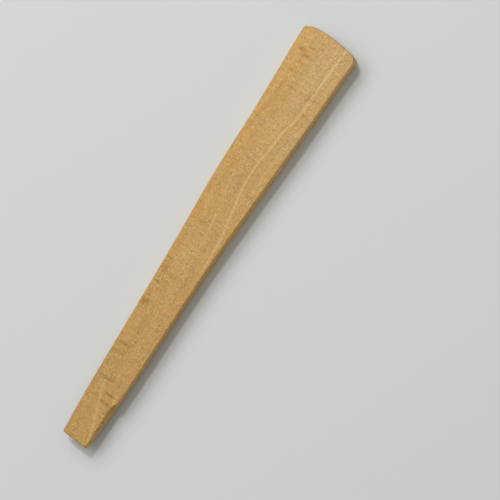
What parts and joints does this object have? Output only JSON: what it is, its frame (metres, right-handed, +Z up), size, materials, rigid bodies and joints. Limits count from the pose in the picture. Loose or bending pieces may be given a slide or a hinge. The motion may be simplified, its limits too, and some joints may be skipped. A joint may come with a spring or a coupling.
{
  "type": "clay modeling tool",
  "caption": "Flat carved hardwood stick for modelling clay, broad rounded blade at one end and a narrow bevelled tip at the other.",
  "frame": {"origin": "bottom centre of the tool's box, on the surface that the flat underside rests on", "axes": "+X along the tool from the narrow end to the broad end, +Y to the back long edge, +Z up out of the top face"},
  "size_m": [0.2, 0.0269, 0.006],
  "materials": {
    "carved_wood": "bare hand-sanded wood, matte"
  },
  "bodies": {
    "root": {"wooden_tool_body": "carved_wood"}
  },
  "joints": []
}
